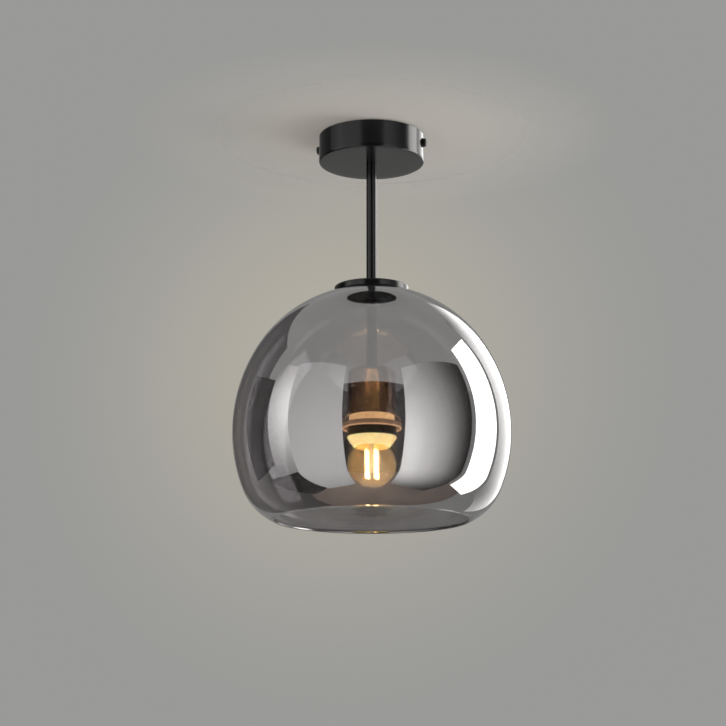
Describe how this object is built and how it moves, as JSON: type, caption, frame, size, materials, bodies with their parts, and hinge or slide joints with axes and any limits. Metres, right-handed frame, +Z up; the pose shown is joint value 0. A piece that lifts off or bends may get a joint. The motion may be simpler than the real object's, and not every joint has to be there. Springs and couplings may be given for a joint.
{
  "type": "semi flush ceiling light",
  "caption": "Semi flush ceiling light: black round canopy and short stem, open-bottomed smoke glass shade clamped round a screw-base lamp holder and globe lamp.",
  "frame": {"origin": "centre of the ceiling bracket, on the ceiling plane", "axes": "+Z up into the ceiling, X along the bracket bar and the two canopy side screws"},
  "size_m": [0.2572, 0.2572, 0.3685],
  "materials": {
    "black_metal": "satin black powder coat on steel",
    "black_cup": "satin black lacquer on spun aluminium",
    "zinc_steel": "zinc plated steel",
    "blackened_steel": "black oxide steel",
    "black_rubber": "matt black rubber",
    "smoke_glass": "smoke grey blown glass with a half mirror coating",
    "lamp_glass": "clear amber tinted lamp glass",
    "lamp_inner_glass": "clear pressed glass",
    "nickel": "bright nickel plate",
    "brass": "plain brass",
    "warm_brass": "satin brass",
    "spring_brass": "rolled phosphor bronze",
    "porcelain": "cream glazed porcelain",
    "black_bakelite": "black moulded phenolic",
    "black_vitrite": "black insulating glass",
    "white_nylon": "natural white nylon",
    "brown_pvc": "brown insulation",
    "blue_pvc": "blue insulation",
    "green_yellow_pvc": "green and yellow insulation",
    "fine_wire": "plain nickel wire",
    "phosphor": "warm white phosphor strip, lit"
  },
  "bodies": {
    "fixture": {"ceiling_bracket": "zinc_steel", "canopy": "black_metal", "terminal_block": "white_nylon", "terminal_barrels": "brass", "terminal_screws": "zinc_steel", "terminal_block_screw": "zinc_steel", "earth_lug": "brass", "earth_screw": "zinc_steel", "wire_live": "brown_pvc", "wire_neutral": "blue_pvc", "wire_earth": "green_yellow_pvc", "canopy_nipple": "zinc_steel", "canopy_lock_washer": "zinc_steel", "canopy_nut": "zinc_steel", "stem": "black_metal", "shade_cap": "black_metal", "upper_gasket": "black_rubber", "glass_shade": "smoke_glass", "lower_gasket": "black_rubber", "retaining_washer": "black_metal", "spring_washer": "blackened_steel", "clamp_nut": "blackened_steel", "shade_nipple": "blackened_steel", "lower_stem": "black_metal", "holder_cup": "black_cup", "holder_nipple": "zinc_steel", "holder_nut": "zinc_steel", "holder_bridge": "zinc_steel", "bridge_screws": "zinc_steel", "holder_collar": "black_cup", "brass_ring": "warm_brass", "spacer_ring": "black_bakelite", "socket_core": "porcelain", "screw_shell": "spring_brass", "contact_spring": "spring_brass", "holder_terminals": "brass", "holder_terminal_screws": "zinc_steel"},
    "lamp_travel": {"lamp_foot": "nickel"},
    "lamp": {"lamp_insulator": "black_vitrite", "lamp_base": "nickel", "lamp_globe": "lamp_glass", "lamp_mount": "lamp_inner_glass", "lamp_leads": "fine_wire", "lamp_filaments": "phosphor"},
    "screw_right_travel": {"canopy_washer_right": "blackened_steel"},
    "screw_right": {"canopy_screw_right": "blackened_steel"},
    "screw_left_travel": {"canopy_washer_left": "blackened_steel"},
    "screw_left": {"canopy_screw_left": "blackened_steel"}
  },
  "joints": [
    {"name": "lamp_turn", "type": "hinge", "parent": "lamp_travel", "child": "lamp", "pos_m": [0, 0, -0.28], "axis": [0, 0, -1], "range_deg": [0, 1440]},
    {"name": "lamp_lower", "type": "slide", "parent": "fixture", "child": "lamp_travel", "axis": [0, 0, -1], "range_m": [0, 0.01454]},
    {"name": "screw_right_turn", "type": "hinge", "parent": "screw_right_travel", "child": "screw_right", "pos_m": [0.05, 0, -0.0095], "axis": [1, 0, 0], "range_deg": [0, 2161]},
    {"name": "screw_right_out", "type": "slide", "parent": "fixture", "child": "screw_right_travel", "axis": [1, 0, 0], "range_m": [0, 0.0042]},
    {"name": "screw_left_turn", "type": "hinge", "parent": "screw_left_travel", "child": "screw_left", "pos_m": [-0.05, 0, -0.0095], "axis": [-1, 0, 0], "range_deg": [0, 2161]},
    {"name": "screw_left_out", "type": "slide", "parent": "fixture", "child": "screw_left_travel", "axis": [-1, 0, 0], "range_m": [0, 0.0042]}
  ],
  "couplings": [
    {"joint": "lamp_lower", "follows": "lamp_turn", "m_per_rad": 0.00057757},
    {"joint": "screw_right_turn", "follows": "screw_right_out", "rad_per_m": 8976},
    {"joint": "screw_left_turn", "follows": "screw_left_out", "rad_per_m": 8976}
  ]
}
